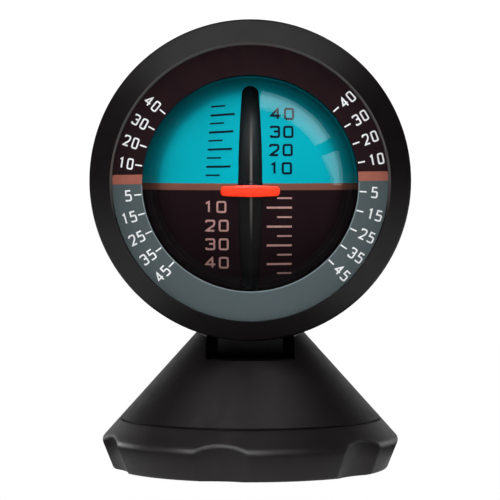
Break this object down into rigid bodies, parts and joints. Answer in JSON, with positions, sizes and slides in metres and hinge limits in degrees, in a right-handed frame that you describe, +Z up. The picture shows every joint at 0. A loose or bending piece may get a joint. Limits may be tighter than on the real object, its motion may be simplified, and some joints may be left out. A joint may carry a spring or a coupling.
{
  "type": "inclinometer",
  "caption": "Dashboard pitch-and-roll ball inclinometer: pendulum ball in a two-axis gimbal behind a domed window, round case tilting on a conical swivel stand",
  "frame": {"origin": "centre of the pad's sticky face, on the swivel axis", "axes": "+Z up along the swivel axis, -Y towards the reader (the dial faces -Y), +X to the reader's right"},
  "size_m": [0.0734, 0.0695, 0.1045],
  "materials": {
    "black_satin": "satin black moulded plastic",
    "black_inner": "smooth black moulded plastic",
    "foam_pad": "closed-cell foam with a sticky face",
    "slide_plastic": "black low-friction plastic",
    "brass": "turned brass",
    "steel": "zinc-plated steel",
    "dark_steel": "blackened steel",
    "printed_ring": "printed plastic ring, dark above and grey below, with white figures",
    "clear_window": "clear polished plastic",
    "gasket_rubber": "black rubber",
    "orange": "fluorescent orange plastic",
    "teal": "smooth teal plastic with printed scale",
    "ball_black": "smooth black plastic with printed scale",
    "brown_band": "red-brown inlaid strip",
    "lead_grey": "cast weight"
  },
  "bodies": {
    "base": {"base_body": "black_satin", "adhesive_pad": "foam_pad", "glide_ring": "slide_plastic"},
    "stand": {"stand_cone": "black_satin", "thread_insert": "brass", "swivel_screw": "steel", "wave_washer": "steel", "tilt_pin": "steel"},
    "head": {"case_shell": "black_satin", "friction_washers": "gasket_rubber", "front_bezel": "black_satin", "scale_ring": "printed_ring", "dome_lens": "clear_window", "lens_gasket": "gasket_rubber", "pivot_shaft": "dark_steel", "shaft_washer": "steel", "shaft_nut": "steel", "shaft_clip": "steel", "pointer_collar": "dark_steel", "pointer_bar": "orange"},
    "roll_frame": {"roll_yoke": "black_inner", "roll_bushes": "brass", "pitch_pins": "steel"},
    "ball": {"ball_upper_shell": "teal", "ball_lower_shell": "ball_black", "horizon_band": "brown_band", "trunnion_bushes": "brass", "ball_weights": "lead_grey"}
  },
  "joints": [
    {"name": "base_swivel", "type": "hinge", "parent": "base", "child": "stand", "pos_m": [0, 0, 0.012], "axis": [0, 0, 1], "continuous": true},
    {"name": "head_tilt", "type": "hinge", "parent": "stand", "child": "head", "pos_m": [0, 0, 0.0276], "axis": [1, 0, 0], "range_deg": [-25, 8]},
    {"name": "ball_roll", "type": "hinge", "parent": "head", "child": "roll_frame", "pos_m": [0, 0, 0.0662], "axis": [0, 1, 0], "continuous": true},
    {"name": "ball_pitch", "type": "hinge", "parent": "roll_frame", "child": "ball", "pos_m": [0, 0, 0.0662], "axis": [1, 0, 0], "range_deg": [-55, 55]}
  ]
}
